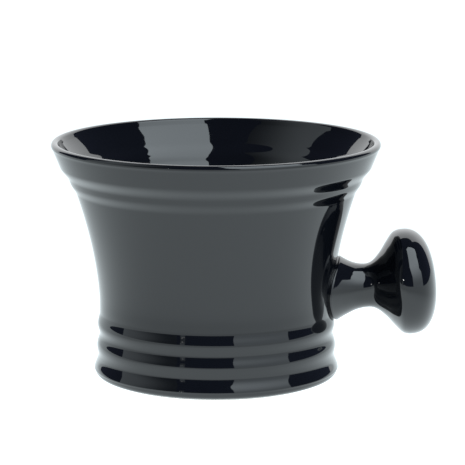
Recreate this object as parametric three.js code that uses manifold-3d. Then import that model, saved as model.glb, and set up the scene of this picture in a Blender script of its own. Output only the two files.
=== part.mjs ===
// A glazed porcelain shaving mug: a flared bowl with three rolls above its foot and two collars below
// its lip, and a mushroom knob that is luted to the wall with slip and gripped between the fingers.
// Millimetres, +Z up. The foot stands on z = 0, and the knob points along +X, tilted a little upwards.
// The origin lies on the standing plane, under the middle of the mug's overall length.

import * as THREE from "three";
import { mergeVertices } from "three/addons/utils/BufferGeometryUtils.js";
import Module from "manifold-3d";

const wasm = await Module();
wasm.setup();

// ---------------------------------------------------------------- driving dimensions

// Bowl, outside
const LIP_CENTRE = { radius: 53.75, height: 78.6 }; // middle of the bead round the lip
const LIP_BEAD_RADIUS = 1.25;
const LIP_START_ANGLE = -24; // degrees below level at which the outer wall runs into the bead
const WAIST = { radius: 39.27, height: 25.6 }; // the narrowest place on the wall
const FLARE = { gain: 0.01719, power: 1.68 }; // how the wall opens out above the waist
const FOOT_SPREAD = 0.5; // how much wider the wall under the rolls is, one roll spacing below the waist
const ROLL_SPACING = 14.7;

// Rolls: each is a rounded band that swells out of the wall around its crest
const ROLLS = [
  { crest: 2.6, below: 3.0, above: 4.8, height: 0.85 },
  { crest: 10.9, below: 3.4, above: 3.9, height: 0.56 },
  { crest: 18.0, below: 3.2, above: 4.3, height: 0.6 },
];

// Collars: the wall steps outwards between the two heights and stays wider up to the lip
const COLLARS = [
  { from: 62.7, to: 66.2, step: 0.82 },
  { from: 67.6, to: 71.8, step: 1.38 },
];

// Bowl, inside: drained slip leaves an even wall, so the inside follows the collars, only softer
const WALL_THICKNESS = 4.0;
const LIP_THINNING = { from: 66.0, amount: 1.5 }; // the wall thins towards the bead
const INNER_COLLAR_SHARE = 0.55;
const FLOOR_HEIGHT = 5.8;
const FLOOR_CORNER_RADIUS = 9.0;

// Foot: a flat unglazed ring inside the lowest roll, with the underside lifted clear
const FOOT_RING = { inner: 34.9, outer: 37.9 };
const UNDERSIDE = { radius: 33.9, height: 1.7 };
const BASE_CORNER = { radius: 39.1, height: 2.6, bend: 1.95 };
const RING_CHAMFER = 0.55;

// Knob handle: lengths along its own axis are measured from the bowl's axis
const HANDLE_HEIGHT = 24.9; // where the knob's axis, carried on straight, meets the bowl's axis
const HANDLE_TILT = 6.1; // degrees above level
const NECK_BEND = { end: 54.5, gain: 0.0078 }; // from here back to the root the axis curves up off it
const HANDLE_SIDE = [
  // [along the axis, radius] from the root flare, over the neck, to the knob's widest place
  [35.5, 16.8],
  [37.0, 14.8],
  [38.2, 13.45],
  [40.1, 12.0],
  [43.2, 9.95],
  [47.0, 8.05],
  [50.9, 7.4],
  [53.6, 8.15],
  [56.4, 10.75],
  [58.9, 14.05],
  [61.1, 16.7],
  [62.8, 17.6],
  [64.5, 17.83],
];
const KNOB_FACE = { length: 9.78, roundness: 2.4 }; // from the widest place to the tip
const CAVITY = { neckRadius: 2.8, flareStart: 57.0, centre: 65.4, halfLength: 4.0, radius: 12.2 };
const CAVITY_SHOULDER = 150; // degrees round the hollow, from its tip back to where the channel opens

// Slip joint: a thin bed of slip between the handle's root and the wall
const PIECE_GAP = 0.3;
const SLIP_BED = { thickness: 0.8, inner: 6.4, outer: 10.4, from: 31.5, to: 47.0 };
const WALL_PLUG = { from: 3.4, to: 60.5, steps: 30 }; // heights between which the wall can meet the root

const BOWL_SEGMENTS = 56;
const HANDLE_SEGMENTS = 40;
const SIDE_STRETCHES = 27; // along the handle, from its root to its widest place

// ---------------------------------------------------------------- small helpers

const radians = THREE.MathUtils.degToRad;
const smooth = THREE.MathUtils.smoothstep;

// Numbers spread evenly from one value to another, both ends included.
function spread(from, to, count) {
  return Array.from({ length: count }, (_, i) => from + ((to - from) * i) / (count - 1));
}

// Points along an arc around (radius, height), between two angles in degrees.
function arc(centre, bend, fromAngle, toAngle, count) {
  return spread(radians(fromAngle), radians(toAngle), count).map(
    (a) => new THREE.Vector2(centre.radius + bend * Math.cos(a), centre.height + bend * Math.sin(a)),
  );
}

// A solid of revolution from a profile that starts and ends on the axis. The axis is +Y.
function turned(profile, segments) {
  return new THREE.LatheGeometry(profile, segments);
}

function toSolid(geometry) {
  const bare = geometry.clone();
  bare.deleteAttribute("normal");
  bare.deleteAttribute("uv");
  const merged = mergeVertices(bare, 1e-4);
  return new wasm.Manifold(
    new wasm.Mesh({
      numProp: 3,
      vertProperties: merged.attributes.position.array,
      triVerts: new Uint32Array(merged.index.array),
    }),
  );
}

function toGeometry(solid) {
  const mesh = solid.getMesh();
  const geometry = new THREE.BufferGeometry();
  geometry.setAttribute("position", new THREE.BufferAttribute(mesh.vertProperties, 3));
  geometry.setIndex(new THREE.BufferAttribute(mesh.triVerts, 1));
  geometry.computeVertexNormals();
  return geometry;
}

// ---------------------------------------------------------------- the bowl's outline

// How far a roll swells out at this height: a half cosine down to nothing on either side of its crest.
function rollSwell(roll, height) {
  const reach = height < roll.crest ? roll.below : roll.above;
  const share = Math.abs(height - roll.crest) / reach;
  return share < 1 ? (roll.height * (1 + Math.cos(Math.PI * share))) / 2 : 0;
}

function collarStep(height) {
  return COLLARS.reduce((sum, c) => sum + c.step * smooth(height, c.from, c.to), 0);
}

// The wall with neither rolls nor collars.
function plainRadius(height) {
  const above = height - WAIST.height;
  if (above > 0) return WAIST.radius + FLARE.gain * above ** FLARE.power;
  return WAIST.radius + FOOT_SPREAD * (above / ROLL_SPACING) ** 2;
}

function outerRadius(height) {
  const swell = ROLLS.reduce((sum, roll) => sum + rollSwell(roll, height), 0);
  return plainRadius(height) + collarStep(height) + swell;
}

function innerRadius(height) {
  const thinning = LIP_THINNING.amount * smooth(height, LIP_THINNING.from, LIP_CENTRE.height);
  const softened = (1 - INNER_COLLAR_SHARE) * collarStep(height) * (1 - thinning / LIP_THINNING.amount);
  return plainRadius(height) + collarStep(height) - softened - WALL_THICKNESS + thinning;
}

function outerWall() {
  const heights = [
    ...spread(3.4, 22.6, 16), // rolls
    ...spread(26.5, 60.5, 6), // waist and flare
    ...spread(62.7, 72.0, 9), // collars
    ...spread(75.0, 77.6, 2),
  ];
  return heights.map((h) => new THREE.Vector2(outerRadius(h), h));
}

function innerWall() {
  const heights = [...spread(77.2, 60.5, 8), ...spread(52.0, FLOOR_HEIGHT + FLOOR_CORNER_RADIUS, 5)];
  return heights.map((h) => new THREE.Vector2(innerRadius(h), h));
}

function bowlProfile() {
  const corner = {
    radius: innerRadius(FLOOR_HEIGHT + FLOOR_CORNER_RADIUS) - FLOOR_CORNER_RADIUS,
    height: FLOOR_HEIGHT + FLOOR_CORNER_RADIUS,
  };
  return [
    new THREE.Vector2(0, UNDERSIDE.height),
    new THREE.Vector2(UNDERSIDE.radius, UNDERSIDE.height),
    new THREE.Vector2(FOOT_RING.inner, 0),
    new THREE.Vector2(FOOT_RING.outer, 0),
    new THREE.Vector2(FOOT_RING.outer + RING_CHAMFER, RING_CHAMFER),
    ...arc(BASE_CORNER, BASE_CORNER.bend, -90, 0, 5),
    ...outerWall(),
    ...arc(LIP_CENTRE, LIP_BEAD_RADIUS, LIP_START_ANGLE, 180 + LIP_START_ANGLE, 9),
    ...innerWall(),
    ...arc(corner, FLOOR_CORNER_RADIUS, 0, -90, 6).slice(1),
    new THREE.Vector2(0, FLOOR_HEIGHT),
  ];
}

function bowlGeometry() {
  return turned(bowlProfile(), BOWL_SEGMENTS).rotateX(Math.PI / 2);
}

// A plug that fills the bowl's outside, made wider all round by the given clearance.
function wallPlug(clearance) {
  const heights = spread(WALL_PLUG.from, WALL_PLUG.to, WALL_PLUG.steps);
  const side = heights.map((h) => new THREE.Vector2(outerRadius(h) + clearance, h));
  const top = side[side.length - 1].y;
  const profile = [new THREE.Vector2(0, side[0].y), ...side, new THREE.Vector2(0, top)];
  return toSolid(turned(profile, BOWL_SEGMENTS).rotateX(Math.PI / 2));
}

// ---------------------------------------------------------------- the knob handle

// Turns a solid made along +Y into the handle's place: it bends the root's end upwards, then lays the
// solid along the tilted handle axis.
function alongHandle(geometry) {
  const places = geometry.attributes.position;
  for (let i = 0; i < places.count; i += 1) {
    const before = Math.max(NECK_BEND.end - places.getY(i), 0);
    places.setZ(i, places.getZ(i) + NECK_BEND.gain * before ** 2);
  }
  return geometry
    .rotateZ(-Math.PI / 2)
    .rotateY(-radians(HANDLE_TILT))
    .translate(0, 0, HANDLE_HEIGHT);
}

// The knob's outer face: a dome, fuller towards its edge than an ellipse.
function knobFace(widest) {
  return spread(0, 1, 12)
    .slice(1)
    .map((t) => {
      const share = Math.sin((t * Math.PI) / 2);
      const radius = widest.x * (1 - share ** KNOB_FACE.roundness) ** (1 / KNOB_FACE.roundness);
      return new THREE.Vector2(Math.max(radius, 0), widest.y + KNOB_FACE.length * share);
    });
}

function handleOutline() {
  const points = HANDLE_SIDE.map(([along, radius]) => new THREE.Vector2(radius, along));
  const side = new THREE.SplineCurve(points).getPoints(SIDE_STRETCHES);
  return [new THREE.Vector2(0, side[0].y), ...side, ...knobFace(side[side.length - 1])];
}

// Where the drained slip left the handle hollow: a channel up the neck that opens into the knob.
function cavityOutline() {
  const start = HANDLE_SIDE[0][0];
  const knob = spread(CAVITY_SHOULDER, 0, 8).map((angle) => {
    const a = radians(angle);
    const along = CAVITY.centre + CAVITY.halfLength * Math.cos(a);
    return new THREE.Vector2(CAVITY.radius * Math.sin(a), along);
  });
  knob[knob.length - 1].x = 0;
  return [
    new THREE.Vector2(0, start - 1),
    ...spread(start - 1, CAVITY.flareStart, 7).map((y) => new THREE.Vector2(CAVITY.neckRadius, y)),
    ...knob,
  ];
}

function handleGeometry() {
  const outside = toSolid(alongHandle(turned(handleOutline(), HANDLE_SEGMENTS)));
  const cavity = toSolid(alongHandle(turned(cavityOutline(), HANDLE_SEGMENTS)));
  const wall = wallPlug(SLIP_BED.thickness + 2 * PIECE_GAP);
  return toGeometry(outside.subtract(cavity).subtract(wall));
}

// ---------------------------------------------------------------- the slip joint

function slipGeometry() {
  const bed = [
    new THREE.Vector2(SLIP_BED.inner, SLIP_BED.from),
    new THREE.Vector2(SLIP_BED.outer, SLIP_BED.from),
    new THREE.Vector2(SLIP_BED.outer, SLIP_BED.to),
    new THREE.Vector2(SLIP_BED.inner, SLIP_BED.to),
    new THREE.Vector2(SLIP_BED.inner, SLIP_BED.from),
  ];
  const sleeve = toSolid(alongHandle(turned(bed, HANDLE_SEGMENTS)));
  const outer = wallPlug(PIECE_GAP + SLIP_BED.thickness);
  return toGeometry(sleeve.intersect(outer).subtract(wallPlug(PIECE_GAP)));
}

// ---------------------------------------------------------------- the mug

const BLACK_GLAZE = new THREE.MeshStandardMaterial({ color: 0x0b0c10, roughness: 0.06, metalness: 0 });
const GLAZED_SLIP = new THREE.MeshStandardMaterial({ color: 0x101116, roughness: 0.12, metalness: 0 });

function piece(name, geometry, material) {
  const mesh = new THREE.Mesh(geometry, material);
  mesh.name = name;
  return mesh;
}

const mug = new THREE.Group();
mug.add(piece("bowl", bowlGeometry(), BLACK_GLAZE));
mug.add(piece("knob_handle", handleGeometry(), BLACK_GLAZE));
mug.add(piece("slip_joint", slipGeometry(), GLAZED_SLIP));

// The origin goes under the middle of the overall length.
const middle = new THREE.Box3().setFromObject(mug).getCenter(new THREE.Vector3());
mug.position.set(-middle.x, -middle.y, 0);

export default mug;
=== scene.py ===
# %% [markdown]
# # A black porcelain shaving mug
#
# A shaving mug is a small flared bowl in which soap and water are whipped into lather. This one is
# slip-cast porcelain under a glossy black glaze. Liquid clay is poured into a plaster mould, drained
# once a wall has formed, dried, trimmed, and joined to a mushroom-shaped knob cast the same way.
# The knob is held between two fingers while the other hand works the brush.
#
# Everything below is measured in metres, because that is what Blender and the frame use. Sizes that
# a potter would quote are written in millimetres and multiplied by `MM`.

# %% Load the frame
import math

import bpy
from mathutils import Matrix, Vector


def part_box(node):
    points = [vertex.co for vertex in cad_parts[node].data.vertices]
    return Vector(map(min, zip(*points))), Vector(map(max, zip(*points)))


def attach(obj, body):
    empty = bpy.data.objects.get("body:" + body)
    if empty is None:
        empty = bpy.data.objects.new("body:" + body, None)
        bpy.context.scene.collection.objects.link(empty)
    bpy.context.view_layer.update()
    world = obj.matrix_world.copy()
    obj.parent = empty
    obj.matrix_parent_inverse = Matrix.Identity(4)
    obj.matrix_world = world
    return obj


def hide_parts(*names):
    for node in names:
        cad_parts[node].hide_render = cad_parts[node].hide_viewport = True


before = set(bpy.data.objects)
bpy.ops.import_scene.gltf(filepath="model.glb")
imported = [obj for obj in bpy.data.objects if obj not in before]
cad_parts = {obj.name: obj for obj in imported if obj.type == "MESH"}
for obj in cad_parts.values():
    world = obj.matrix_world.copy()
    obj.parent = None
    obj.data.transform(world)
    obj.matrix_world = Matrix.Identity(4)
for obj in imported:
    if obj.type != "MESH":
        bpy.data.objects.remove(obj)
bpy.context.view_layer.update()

MM = 0.001
print("frame holds", sorted(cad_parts))

# %% [markdown]
# ## Where things are
#
# The bowl is round, so its axis is the middle of the box that the frame gives for it. The knob
# points along +X from that axis. Reading the axis off the frame, and not typing it in, keeps the
# pieces in place if the frame ever shifts.

# %% The bowl's axis
bowl_low, bowl_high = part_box("bowl")
AXIS = Vector(((bowl_low[0] + bowl_high[0]) / 2, (bowl_low[1] + bowl_high[1]) / 2, 0.0))
RIM_HEIGHT = bowl_high[2]
print(f"axis at x = {AXIS.x / MM:.2f} mm, rim {RIM_HEIGHT / MM:.2f} mm high")

# %% [markdown]
# ## The camera
#
# A long lens from about a metre away is how small tableware is usually pictured: the far rim and
# the near rim come out almost the same width. The camera faces the mug square on, with the knob to
# the right, and looks slightly down, so that the inside of the bowl shows as a narrow ellipse.

# %% Camera
CAMERA_REACH = 902.9 * MM
CAMERA_HEIGHT = 216.35 * MM
CAMERA_HEADING = math.radians(-0.35)
CAMERA_DIP = math.radians(10.53)
SENSOR_WIDTH = 36.0
LENS_LENGTH = 211.7

camera_data = bpy.data.cameras.new("long_lens")
camera_data.sensor_width = SENSOR_WIDTH
camera_data.lens = LENS_LENGTH
camera_data.dof.use_dof = False
camera = bpy.data.objects.new("camera", camera_data)
bpy.context.scene.collection.objects.link(camera)
camera.location = AXIS + Vector((0, -CAMERA_REACH, CAMERA_HEIGHT))
camera.rotation_euler = (math.pi / 2 - CAMERA_DIP, 0.0, CAMERA_HEADING)
bpy.context.scene.camera = camera
print("camera at", [round(v, 3) for v in camera.location])

# %% [markdown]
# ## The bowl's outline
#
# A potter would cut one template for the outside: a waisted wall that flares faster and faster, with
# three rolls swelling out of it near the foot and two collars under the lip. A formula for each of
# those is easier to adjust than a long list of points, and it stays smooth however finely it is
# sampled. That matters here, because a glossy black surface shows every kink as a bent reflection.

# %% Outline formulas, in millimetres
WAIST_RADIUS = 39.27
WAIST_HEIGHT = 25.6
FLARE_GAIN = 0.01719
FLARE_POWER = 1.68
FOOT_SPREAD = 0.5
ROLL_SPACING = 14.7
LIP_RADIUS = 53.75
LIP_HEIGHT = 78.6
LIP_BEAD = 1.25

ROLLS = [  # crest height, reach below, reach above, how far it stands proud
    (2.6, 3.0, 4.8, 0.85),
    (10.9, 3.4, 3.9, 0.56),
    (18.0, 3.2, 4.3, 0.60),
]
COLLARS = [(62.7, 66.2, 0.82), (67.6, 71.8, 1.38)]  # from, to, step outwards


def ease(value, start, end):
    """0 before start, 1 after end, and an S-curve between."""
    t = min(max((value - start) / (end - start), 0.0), 1.0)
    return t * t * (3 - 2 * t)


def plain_radius(height):
    above = height - WAIST_HEIGHT
    if above > 0:
        return WAIST_RADIUS + FLARE_GAIN * above**FLARE_POWER
    return WAIST_RADIUS + FOOT_SPREAD * (above / ROLL_SPACING) ** 2


def roll_swell(height):
    swell = 0.0
    for crest, below, above, proud in ROLLS:
        share = abs(height - crest) / (below if height < crest else above)
        if share < 1:
            swell += proud * (1 + math.cos(math.pi * share)) / 2
    return swell


def collar_step(height):
    return sum(step * ease(height, start, end) for start, end, step in COLLARS)


def outer_radius(height):
    return plain_radius(height) + collar_step(height) + roll_swell(height)


print("radius at waist", round(outer_radius(WAIST_HEIGHT), 2), "mm")

# %% [markdown]
# The inside has no template of its own. Slip builds up to an even thickness against the mould, so
# the inner wall repeats the collars more softly, and the floor meets the wall in a wide curve that a
# brush can sweep clean.

# %% Inner wall, in millimetres
WALL = 4.0
LIP_THINNING = 1.5
THINNING_START = 66.0
INNER_COLLAR_SHARE = 0.55
FLOOR_HEIGHT = 5.8
FLOOR_CORNER = 9.0


def inner_radius(height):
    thin = ease(height, THINNING_START, LIP_HEIGHT)
    softened = (1 - INNER_COLLAR_SHARE) * collar_step(height) * (1 - thin)
    return plain_radius(height) + collar_step(height) - softened - WALL + LIP_THINNING * thin


print("mouth radius", round(inner_radius(LIP_HEIGHT), 2), "mm")

# %% [markdown]
# ## Turning an outline into a mesh
#
# Blender's Screw and Spin tools can both turn an outline, but building the rings directly gives
# control over each one. `skin_rings` takes a list of rings with the same number of points and joins
# them with quads. A ring of radius nought becomes a single pole point.

# %% Mesh helpers
def steps(start, end, count):
    return [start + (end - start) * i / (count - 1) for i in range(count)]


def arc(centre_radius, centre_height, bend, start_degrees, end_degrees, count):
    """Outline points (radius, height) along an arc."""
    angles = [math.radians(a) for a in steps(start_degrees, end_degrees, count)]
    return [(centre_radius + bend * math.cos(a), centre_height + bend * math.sin(a)) for a in angles]


def new_piece(name, points, faces):
    mesh = bpy.data.meshes.new(name)
    mesh.from_pydata(points, [], faces)
    mesh.validate()
    mesh.polygons.foreach_set("use_smooth", [True] * len(mesh.polygons))
    piece = bpy.data.objects.new(name, mesh)
    bpy.context.scene.collection.objects.link(piece)
    return piece


def skin_rings(name, rings, loop=False):
    """Joins rings of points into one skin. A ring with one point is a pole. loop joins last to first."""
    points, starts = [], []
    for ring in rings:
        starts.append(len(points))
        points.extend(ring)
    pairs = list(zip(range(len(rings)), range(1, len(rings))))
    if loop:
        pairs.append((len(rings) - 1, 0))
    faces = []
    for a, b in pairs:
        count = max(len(rings[a]), len(rings[b]))
        for i in range(count):
            j = (i + 1) % count
            if len(rings[a]) == 1:
                faces.append((starts[a], starts[b] + j, starts[b] + i))
            elif len(rings[b]) == 1:
                faces.append((starts[a] + i, starts[a] + j, starts[b]))
            else:
                faces.append((starts[a] + i, starts[a] + j, starts[b] + j, starts[b] + i))
    return new_piece(name, points, faces)


def turned_rings(outline, segments):
    """Rings round the bowl's axis from (radius, height) in millimetres."""
    rings = []
    for radius, height in outline:
        if radius < 1e-6:
            rings.append([AXIS + Vector((0, 0, height * MM))])
            continue
        turns = [2 * math.pi * i / segments for i in range(segments)]
        rings.append([
            AXIS + Vector((radius * math.cos(t), radius * math.sin(t), height)) * MM for t in turns
        ])
    return rings


# %% [markdown]
# ## The bowl
#
# The glazed skin runs from the middle of the underside to the edge of the foot ring, up the outside,
# over the lip and down to the middle of the floor inside, so that it closes on itself. The steps are
# short where the wall bends and longer where it runs smoothly.

# %% Bowl mesh
BOWL_SEGMENTS = 192
FOOT_INNER = 34.9
FOOT_OUTER = 37.9
UNDERSIDE_RADIUS = 33.9
UNDERSIDE_HEIGHT = 1.7
BASE_CORNER = (39.1, 2.6, 1.95)  # radius and height of its middle, and its bend
GLAZE_LINE = 0.35  # height at which the glaze stops above the ring's bare face
OUTSIDE_SPANS = [(2.9, 23.1, 68), (24.3, 61.5, 32), (62.0, 72.5, 42), (73.2, 77.9, 8)]  # from, to, rings


def bowl_outline():
    corner = (inner_radius(FLOOR_HEIGHT + FLOOR_CORNER) - FLOOR_CORNER, FLOOR_HEIGHT + FLOOR_CORNER)
    under = [(r, UNDERSIDE_HEIGHT) for r in steps(0.0, UNDERSIDE_RADIUS - 1.0, 12)]
    under.append((UNDERSIDE_RADIUS - 0.35, UNDERSIDE_HEIGHT - 0.12))
    under.append((UNDERSIDE_RADIUS, UNDERSIDE_HEIGHT - 0.45))
    ring = [(r, GLAZE_LINE) for r in steps(FOOT_INNER - 0.30, FOOT_OUTER + 0.30, 5)]
    outside = [(outer_radius(h), h) for span in OUTSIDE_SPANS for h in steps(*span)]
    inside = [(inner_radius(h), h) for h in steps(78.0, 60.0, 42)]
    inside += [(inner_radius(h), h) for h in steps(58.8, corner[1] + 1.0, 30)]
    floor = [(r, FLOOR_HEIGHT) for r in steps(corner[0] - 1.2, 0.0, 14)]
    return (
        under
        + ring
        + arc(*BASE_CORNER[:2], BASE_CORNER[2], -88, 2, 14)
        + outside
        + arc(LIP_RADIUS, LIP_HEIGHT, LIP_BEAD, -22, 158, 30)
        + inside
        + arc(*corner, FLOOR_CORNER, 0, -90, 22)
        + floor
    )


bowl = skin_rings("glazed_bowl", turned_rings(bowl_outline(), BOWL_SEGMENTS))
print("bowl mesh:", len(bowl.data.vertices), "points,", len(bowl.data.polygons), "faces")

# %% [markdown]
# Glaze is glass, and in the kiln it would weld the mug to the shelf. So the potter wipes the foot ring
# clean before firing, and a thin ring of bare clay shows underneath. It is a separate loop of mesh
# here, which stands just below the edge of the glaze.

# %% Bare foot ring
RING_TOP = 0.55


def foot_ring_outline():
    inside = [(FOOT_INNER - 0.12, RING_TOP), (FOOT_INNER - 0.12, 0.16), (FOOT_INNER - 0.04, 0.05)]
    under = [(r, 0.0) for r in steps(FOOT_INNER + 0.12, FOOT_OUTER - 0.12, 8)]
    outside = [(FOOT_OUTER + 0.04, 0.05), (FOOT_OUTER + 0.12, 0.16), (FOOT_OUTER + 0.12, RING_TOP)]
    return inside + under + outside


foot_ring = skin_rings("bare_foot_ring", turned_rings(foot_ring_outline(), BOWL_SEGMENTS), loop=True)
print("foot ring:", len(foot_ring.data.polygons), "faces")

# %% [markdown]
# ## The knob handle
#
# The knob is a mushroom: a root that flares where it meets the wall, a slim neck, and a fat disc
# with a domed face. The disc tilts up a little, so that the knuckles clear the counter, while the
# root leaves the wall nearly level. So the axis is straight at the disc and bends gently before it.
# The neck's outline runs through a few points by a smooth curve, and the dome is a formula that is
# fuller at its edge than an ellipse.

# %% Handle outline, in millimetres along its axis from the bowl's axis
HANDLE_HEIGHT = 24.9
HANDLE_TILT = math.radians(6.1)
BEND_END = 54.5  # from here back to the root the axis curves up off its straight line
BEND_GAIN = 0.0078
HANDLE_SIDE = [
    (35.5, 16.8),
    (37.0, 14.8),
    (38.2, 13.45),
    (40.1, 12.0),
    (43.2, 9.95),
    (47.0, 8.05),
    (50.9, 7.4),
    (53.6, 8.15),
    (56.4, 10.75),
    (58.9, 14.05),
    (61.1, 16.7),
    (62.8, 17.6),
    (64.5, 17.83),
]
KNOB_DEPTH = 9.78
KNOB_ROUNDNESS = 2.4

HANDLE_ORIGIN = AXIS + Vector((0, 0, HANDLE_HEIGHT * MM))
HANDLE_ALONG = Vector((math.cos(HANDLE_TILT), 0, math.sin(HANDLE_TILT)))
HANDLE_SIDEWAYS = Vector((0, 1, 0))
HANDLE_UP = HANDLE_ALONG.cross(HANDLE_SIDEWAYS)  # square to the axis, and upwards


def smooth_through(points, samples):
    """A Catmull-Rom curve through the points, level at the last, with samples places per stretch."""
    ends = [2 * Vector(points[0]) - Vector(points[1])] + [Vector(p) for p in points]
    ends.append(Vector((2 * points[-1][0] - points[-2][0], points[-2][1])))
    made = []
    for i in range(1, len(ends) - 2):
        p0, p1, p2, p3 = ends[i - 1 : i + 3]
        for k in range(samples):
            t = k / samples
            made.append(
                0.5
                * (
                    2 * p1
                    + (p2 - p0) * t
                    + (2 * p0 - 5 * p1 + 4 * p2 - p3) * t * t
                    + (3 * p1 - p0 - 3 * p2 + p3) * t * t * t
                )
            )
    made.append(Vector(points[-1]))
    return made


HANDLE_CURVE = smooth_through(HANDLE_SIDE, 12)


def side_radius(along):
    """The handle's radius on the curved side, at a place along its axis."""
    for a, b in zip(HANDLE_CURVE, HANDLE_CURVE[1:]):
        if a.x <= along <= b.x:
            return a.y + (b.y - a.y) * (along - a.x) / (b.x - a.x)
    return HANDLE_CURVE[0].y if along < HANDLE_CURVE[0].x else HANDLE_CURVE[-1].y


def on_handle(along, radius, turn):
    rise = BEND_GAIN * max(BEND_END - along, 0.0) ** 2
    out = HANDLE_SIDEWAYS * math.cos(turn) + HANDLE_UP * math.sin(turn)
    return HANDLE_ORIGIN + (HANDLE_ALONG * along + HANDLE_UP * rise + out * radius) * MM


print("neck radius", round(min(p.y for p in HANDLE_CURVE), 2), "mm")

# %% [markdown]
# The root has to sit on a wall that curves both ways. For each direction round the handle the script
# slides a point along the handle until it touches the wall, which is what a potter does when carving
# the root to fit.

# %% Where the handle touches the wall
SEARCH = (25.0, 60.0)  # places along the handle that are surely inside and surely outside the wall
HALVINGS = 40


def wall_meets(radius, turn, clearance):
    """How far along the handle's axis a line at this radius comes within clearance of the wall."""
    near, far = SEARCH
    for _ in range(HALVINGS):
        middle = (near + far) / 2
        place = on_handle(middle, radius, turn) - AXIS
        from_axis = math.hypot(place.x, place.y) / MM
        if from_axis < outer_radius(place.z / MM) + clearance:
            near = middle
        else:
            far = middle
    return far


print("the handle's axis meets the wall at", round(wall_meets(0.0, 0.0, 0.0), 2), "mm")

# %% [markdown]
# The handle's skin is again a list of rings: the underside of the root, its rounded edge, the neck
# and the back of the disc, and then the domed face. The rings of the root follow the wall, and those
# from the neck outwards are flat.

# %% Handle mesh
HANDLE_SEGMENTS = 144
ROOT_EDGE = 0.8  # bend of the rounded edge where the root meets the slip
ROOT_CLEARANCE = 0.12
ROOT_GUESS = 11.0  # radius at which the search for the root's edge starts
ROOT_ROUNDS = 12
ROOT_RINGS = (0.3, 0.6, 0.85)  # rings of the underside, as shares of the way out to its edge
NECK = 50.9  # where the neck is slimmest


def root_radius(turn):
    """Radius at which the root's side comes down to the wall."""
    radius = ROOT_GUESS
    for _ in range(ROOT_ROUNDS):
        radius = side_radius(wall_meets(radius, turn, ROOT_CLEARANCE) + ROOT_EDGE)
    return radius


def handle_rings():
    turns = [2 * math.pi * i / HANDLE_SEGMENTS for i in range(HANDLE_SEGMENTS)]
    roots = [root_radius(t) for t in turns]
    feet = [wall_meets(r, t, ROOT_CLEARANCE) for r, t in zip(roots, turns)]
    rings = [[on_handle(wall_meets(0.0, 0.0, ROOT_CLEARANCE), 0.0, 0.0)]]
    for share in ROOT_RINGS:
        rings.append([
            on_handle(wall_meets((r - ROOT_EDGE) * share, t, ROOT_CLEARANCE), (r - ROOT_EDGE) * share, t)
            for r, t in zip(roots, turns)
        ])
    for angle in steps(90, 0, 9):
        drop = ROOT_EDGE * (1 - math.cos(math.radians(angle)))
        lift = ROOT_EDGE * (1 - math.sin(math.radians(angle)))
        rings.append([on_handle(f + lift, r - drop, t) for f, r, t in zip(feet, roots, turns)])
    for share in steps(0.04, 1.0, 26):
        places = [f + ROOT_EDGE + (NECK - f - ROOT_EDGE) * share for f in feet]
        rings.append([on_handle(p, side_radius(p), t) for p, t in zip(places, turns)])
    for point in HANDLE_CURVE:
        if point.x > NECK + 0.1:
            rings.append([on_handle(point.x, point.y, t) for t in turns])
    widest = HANDLE_CURVE[-1]
    for share in steps(0.0, 1.0, 34)[1:-1]:
        reach = math.sin(share * math.pi / 2)
        radius = widest.y * (1 - reach**KNOB_ROUNDNESS) ** (1 / KNOB_ROUNDNESS)
        rings.append([on_handle(widest.x + KNOB_DEPTH * reach, radius, t) for t in turns])
    rings.append([on_handle(widest.x + KNOB_DEPTH, 0.0, 0.0)])
    return rings


handle = skin_rings("glazed_knob_handle", handle_rings())
print("handle mesh:", len(handle.data.vertices), "points")

# %% [markdown]
# ## The slip joint
#
# Slip is liquid clay, and it is the glue between the root and the wall. A little squeezes out all
# round and is wiped back with a wet finger. What is left is a fine bead lying in the crease, glazed
# over with the rest. Only the bead is modelled here, because the bed behind it can't be seen.

# %% Slip bead
BEAD = 0.5  # radius of the bead, which is partly buried in the wall and the root
BEAD_SIDES = 12
BEAD_LIFT = 0.18  # how far its middle stands off the wall
BEAD_TUCK = 0.9  # how far it is tucked in under the root's rounded edge, as a share of that edge


def slip_rings():
    rings = []
    for i in range(HANDLE_SEGMENTS):
        turn = 2 * math.pi * i / HANDLE_SEGMENTS
        radius = root_radius(turn) - ROOT_EDGE * BEAD_TUCK
        middle = wall_meets(radius, turn, BEAD_LIFT)
        ring = []
        for k in range(BEAD_SIDES):
            around = 2 * math.pi * k / BEAD_SIDES
            ring.append(on_handle(middle + BEAD * math.sin(around), radius + BEAD * math.cos(around), turn))
        rings.append(ring)
    return rings


slip = skin_rings("slip_bead", slip_rings(), loop=True)
print("slip bead:", len(slip.data.polygons), "faces")

# %% [markdown]
# ## Black glaze
#
# A glaze is a coat of glass about a fifth of a millimetre thick. A black one swallows almost all the
# light that enters it, so nearly everything the eye sees is a mirror image of the room in the
# surface. The Principled shader gives exactly that from a nearly black base colour and the index of
# refraction of glass. What makes it look fired, and not like polished plastic, is its fine relief:
# a slow ripple where the melt ran, a finer orange-peel, and small changes in gloss.

# %% Glaze material
GLAZE_DARK = (0.0016, 0.0021, 0.0034)
GLAZE_LIGHT = (0.0030, 0.0037, 0.0056)
GLAZE_GLOSS = (0.018, 0.045)
SLIP_GLOSS = (0.05, 0.11)  # wiped slip is a little less smooth
RIPPLE_DEPTH = 0.02 * MM
PEEL_DEPTH = 0.0006 * MM


def add_node(tree, kind, **settings):
    node = tree.nodes.new(kind)
    for key, value in settings.items():
        setattr(node, key, value)
    return node


def noise_texture(tree, vector, scale, detail=2.0, roughness=0.5):
    node = add_node(tree, "ShaderNodeTexNoise")
    node.inputs["Scale"].default_value = scale
    node.inputs["Detail"].default_value = detail
    node.inputs["Roughness"].default_value = roughness
    tree.links.new(vector, node.inputs["Vector"])
    return node.outputs["Fac"]


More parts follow.
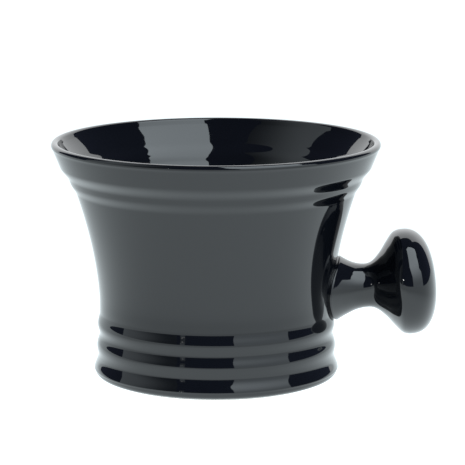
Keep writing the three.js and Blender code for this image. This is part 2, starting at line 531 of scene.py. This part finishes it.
def ramp(tree, factor, low, high):
    """Spreads a 0 to 1 factor between two values."""
    node = add_node(tree, "ShaderNodeMapRange")
    node.inputs["From Min"].default_value = 0.25
    node.inputs["From Max"].default_value = 0.75
    node.inputs["To Min"].default_value = low
    node.inputs["To Max"].default_value = high
    tree.links.new(factor, node.inputs["Value"])
    return node.outputs["Result"]


def colour_between(tree, factor, dark, light):
    node = add_node(tree, "ShaderNodeMix", data_type="RGBA")
    node.inputs["A"].default_value = (*dark, 1)
    node.inputs["B"].default_value = (*light, 1)
    tree.links.new(factor, node.inputs["Factor"])
    return node.outputs["Result"]


def bumped(tree, height, distance, strength, normal=None):
    node = add_node(tree, "ShaderNodeBump")
    node.inputs["Strength"].default_value = strength
    node.inputs["Distance"].default_value = distance
    tree.links.new(height, node.inputs["Height"])
    if normal is not None:
        tree.links.new(normal, node.inputs["Normal"])
    return node.outputs["Normal"]


def new_material(name):
    material = bpy.data.materials.new(name)
    material.use_nodes = True
    return material, material.node_tree, material.node_tree.nodes["Principled BSDF"]


def black_glaze(name, gloss):
    """Black glaze whose roughness wanders between the two values of gloss."""
    material, tree, shader = new_material(name)
    place = add_node(tree, "ShaderNodeTexCoord").outputs["Object"]
    mottle = noise_texture(tree, place, 60.0, 4.0)
    tree.links.new(
        colour_between(tree, mottle, GLAZE_DARK, GLAZE_LIGHT),
        shader.inputs["Base Color"],
    )
    wander = noise_texture(tree, place, 180.0, 3.0)
    tree.links.new(ramp(tree, wander, *gloss), shader.inputs["Roughness"])
    ripple = bumped(tree, noise_texture(tree, place, 70.0, 1.0), RIPPLE_DEPTH, 1.0)
    peel = bumped(tree, noise_texture(tree, place, 700.0, 1.0), PEEL_DEPTH, 1.0, ripple)
    tree.links.new(peel, shader.inputs["Normal"])
    shader.inputs["IOR"].default_value = 1.52
    return material


glaze = black_glaze("black_glaze", GLAZE_GLOSS)
for piece in (bowl, handle):
    piece.data.materials.append(glaze)
slip.data.materials.append(black_glaze("glazed_slip", SLIP_GLOSS))
print("glaze nodes:", len(glaze.node_tree.nodes))

# %% [markdown]
# ## Bare clay
#
# Fired clay without glaze is matt and a little warm in colour. It has fine dark specks, a grain that
# can be felt with a fingernail, and grey smudges where the ring has slid over counters.

# %% Clay material
CLAY_DARK = (0.50, 0.46, 0.41)
CLAY_LIGHT = (0.70, 0.66, 0.60)
SMUDGE_GREY = (0.62, 0.61, 0.60)
CLAY_ROUGHNESS = (0.72, 0.92)
GRAIN_DEPTH = 0.05 * MM


def bare_clay():
    material, tree, shader = new_material("clay_body")
    place = add_node(tree, "ShaderNodeTexCoord").outputs["Object"]
    specks = noise_texture(tree, place, 240.0, 5.0)
    body = colour_between(tree, specks, CLAY_DARK, CLAY_LIGHT)
    smudge = add_node(tree, "ShaderNodeMix", data_type="RGBA", blend_type="MULTIPLY")
    tree.links.new(ramp(tree, noise_texture(tree, place, 55.0, 3.0), 0.0, 0.6), smudge.inputs["Factor"])
    tree.links.new(body, smudge.inputs["A"])
    smudge.inputs["B"].default_value = (*SMUDGE_GREY, 1)
    tree.links.new(smudge.outputs["Result"], shader.inputs["Base Color"])
    wear = noise_texture(tree, place, 500.0)
    tree.links.new(ramp(tree, wear, *CLAY_ROUGHNESS), shader.inputs["Roughness"])
    grain = bumped(tree, noise_texture(tree, place, 2600.0, 4.0, 0.7), GRAIN_DEPTH, 0.8)
    tree.links.new(grain, shader.inputs["Normal"])
    return material


foot_ring.data.materials.append(bare_clay())
print("foot ring is bare clay")

# %% [markdown]
# ## The studio
#
# A mirror-black object is lit by what stands round it, so the studio is a ring of sheets for the
# glaze to reflect: a tall soft window at the right that is brighter above, a dimmer one at the left,
# a white backdrop behind, and darkness between them. Each sheet is a piece of a sphere round the mug,
# given by its bearings and elevations, so it is easy to place by thinking where a reflection should
# fall. Real windows and softboxes are never even, so each sheet's glow fades, either with height or
# with the distance from its brightest place. The camera doesn't see the sheets themselves.

# %% Sheets of light
SHEET_REACH = 2.6


def fade(tree, measure, span, strengths):
    """Blends between two strengths as a measured value goes over a span."""
    node = add_node(tree, "ShaderNodeMapRange", interpolation_type="SMOOTHSTEP")
    node.inputs["From Min"].default_value, node.inputs["From Max"].default_value = span
    node.inputs["To Min"].default_value, node.inputs["To Max"].default_value = strengths
    tree.links.new(measure, node.inputs["Value"])
    return node.outputs["Result"]


def glow(name, colour, measure_kind, toward, span, strengths):
    """
    Light whose strength fades over a span of metres. measure_kind says what is measured at each place:
    DISTANCE is how far it is from the point toward, and DOT_PRODUCT how far it lies in that direction.
    """
    material = bpy.data.materials.new(name)
    material.use_nodes = True
    tree = material.node_tree
    tree.nodes.clear()
    place = add_node(tree, "ShaderNodeNewGeometry").outputs["Position"]
    measure = add_node(tree, "ShaderNodeVectorMath", operation=measure_kind)
    tree.links.new(place, measure.inputs[0])
    measure.inputs[1].default_value = toward
    light = add_node(tree, "ShaderNodeEmission")
    light.inputs["Color"].default_value = (*colour, 1)
    tree.links.new(fade(tree, measure.outputs["Value"], span, strengths), light.inputs["Strength"])
    tree.links.new(light.outputs["Emission"], add_node(tree, "ShaderNodeOutputMaterial").inputs["Surface"])
    return material


def out_there(bearing, elevation, reach=SHEET_REACH):
    """The point seen from the mug at a bearing and an elevation, in degrees."""
    turn, lift = math.radians(bearing), math.radians(elevation)
    level = math.cos(lift)
    return AXIS + Vector((math.sin(turn) * level, -math.cos(turn) * level, math.sin(lift))) * reach


def sheet_of_light(name, outline, glow_settings, reach=SHEET_REACH):
    """
    A curved sheet that stands round the mug. The outline lists its elevations from the bottom up, each
    with the bearings of the left and right edges there, all in degrees.
    """
    columns, rows_between, levels = 24, 6, []
    for (low, *low_edges), (high, *high_edges) in zip(outline, outline[1:]):
        for t in steps(0, 1, rows_between)[:-1]:
            levels.append([a + (b - a) * t for a, b in zip((low, *low_edges), (high, *high_edges))])
    levels.append(outline[-1])
    points, faces = [], []
    for elevation, left, right in levels:
        points += [out_there(bearing, elevation, reach) for bearing in steps(left, right, columns)]
    for r in range(len(levels) - 1):
        for c in range(columns - 1):
            a = r * columns + c
            faces.append((a, a + 1, a + columns + 1, a + columns))
    sheet = new_piece(name, points, faces)
    sheet.data.materials.append(glow(name, *glow_settings))
    sheet.visible_camera = False
    sheet.visible_shadow = False
    return sheet


DAYLIGHT = (0.84, 0.94, 1.0)
UPWARD = (0, 0, 1)
RIGHT_WINDOW = [  # elevation, then the bearings of the left and right edges there
    (-1, 17, 73),
    (22, 16, 73),
    (31, 12, 65),
    (42, 8, 72),
    (50, 8, 76),
    (54, 8, 87),
    (60, 8, 98),
    (86, 8, 98),
]
LEFT_WINDOW = [(-1, -100, -38), (46, -102, -38), (48, -120, -38), (64, -122, -38)]
BACKDROP = [(-2, 134, 221), (60, 134, 221)]
LEFT_PANE = out_there(-105, 25)  # the left window is brightest round here
sheet_of_light("window_right", RIGHT_WINDOW, (DAYLIGHT, "DOT_PRODUCT", UPWARD, (0.26, 1.95), (1.3, 4.0)))
sheet_of_light("window_left", LEFT_WINDOW, (DAYLIGHT, "DISTANCE", LEFT_PANE, (0.9, 2.65), (0.85, 0.12)))
sheet_of_light("backdrop", BACKDROP, ((0.95, 0.98, 1.0), "DOT_PRODUCT", UPWARD, (0.0, 1.5), (1.25, 2.1)))
print("sheets stand", SHEET_REACH, "m from the mug")

# %% [markdown]
# One small lamp stands far off at the left, and a pale stand nearer by. From the front of the bowl the
# stand hides the lamp, and shows as a thin streak down the rolls. From the knob the lamp peeps out
# beside it, and gives the tiny bright points that tell the eye that the surface is glass.

# %% Lamp and stand
LAMP_REACH = 2.4
STAND_REACH = 0.6
STAND = [(-2, -33.5, -29), (16, -33.5, -29)]
LAMP = [(9.2, -33.0, -31.2), (11.2, -33.0, -31.2)]
sheet_of_light("lamp_stand", STAND, (DAYLIGHT, "DOT_PRODUCT", UPWARD, (0.0, 0.17), (0.85, 0.3)), STAND_REACH)
LAMP_MIDDLE = out_there(-32.1, 10.2, LAMP_REACH)
sheet_of_light("lamp", LAMP, ((1, 1, 1), "DISTANCE", LAMP_MIDDLE, (0.0, 0.07), (90, 45)), LAMP_REACH)
print("lamp is", round(math.radians(LAMP[1][0] - LAMP[0][0]) * LAMP_REACH, 3), "m high")

# %% [markdown]
# ## The counter and the room
#
# The counter is a plain white table that glows so brightly that it washes out, as in a catalogue picture.
# Its glow is a painted pool of light, brightest close to the mug. The room is white to the camera, and
# a dim blue-grey to the glaze, which keeps the dark reflections from going dead black.

# %% Counter and room
COUNTER_HALF = 6.0
COUNTER_WHITE = (0.87, 0.965, 1.0)
# The counter's glow is a painted pool of light, strongest round this point and fading out by 0.20 m.
PAINTED_POOL_MIDDLE = AXIS + Vector((0.015, -0.010, 0))  # where the light falls strongest
corners = [(-1, -1), (1, -1), (1, 1), (-1, 1)]
counter = new_piece("counter", [Vector((x, y, 0)) * COUNTER_HALF for x, y in corners], [(0, 1, 2, 3)])
counter.data.materials.append(glow("counter", COUNTER_WHITE, "DISTANCE", PAINTED_POOL_MIDDLE, (0.07, 0.20), (1.75, 1.2)))

world = bpy.data.worlds.new("room")
bpy.context.scene.world = world
world.use_nodes = True
ROOM_GREY = (0.06, 0.07, 0.11)
background = world.node_tree.nodes["Background"]
background.inputs["Strength"].default_value = 1.0
seen = add_node(world.node_tree, "ShaderNodeLightPath").outputs["Is Camera Ray"]
world.node_tree.links.new(
    colour_between(world.node_tree, seen, ROOM_GREY, (1.0, 1.0, 1.0)),
    background.inputs["Color"],
)
bpy.context.scene.view_settings.view_transform = "Standard"
print("counter is", 2 * COUNTER_HALF, "m square")

# %% [markdown]
# ## Joining the pieces to the frame
#
# Nothing on a mug moves, so every piece rides on the one body. Each piece stands for the CAD part that
# it was shaped after.

# %% Join the pieces to the frame
for piece, node, slot in (
    (bowl, "bowl", "black_glaze"),
    (foot_ring, "bowl", "clay_body"),
    (handle, "knob_handle", "black_glaze"),
    (slip, "slip_joint", "glazed_slip"),
):
    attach(piece, "root")
    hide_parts(node)
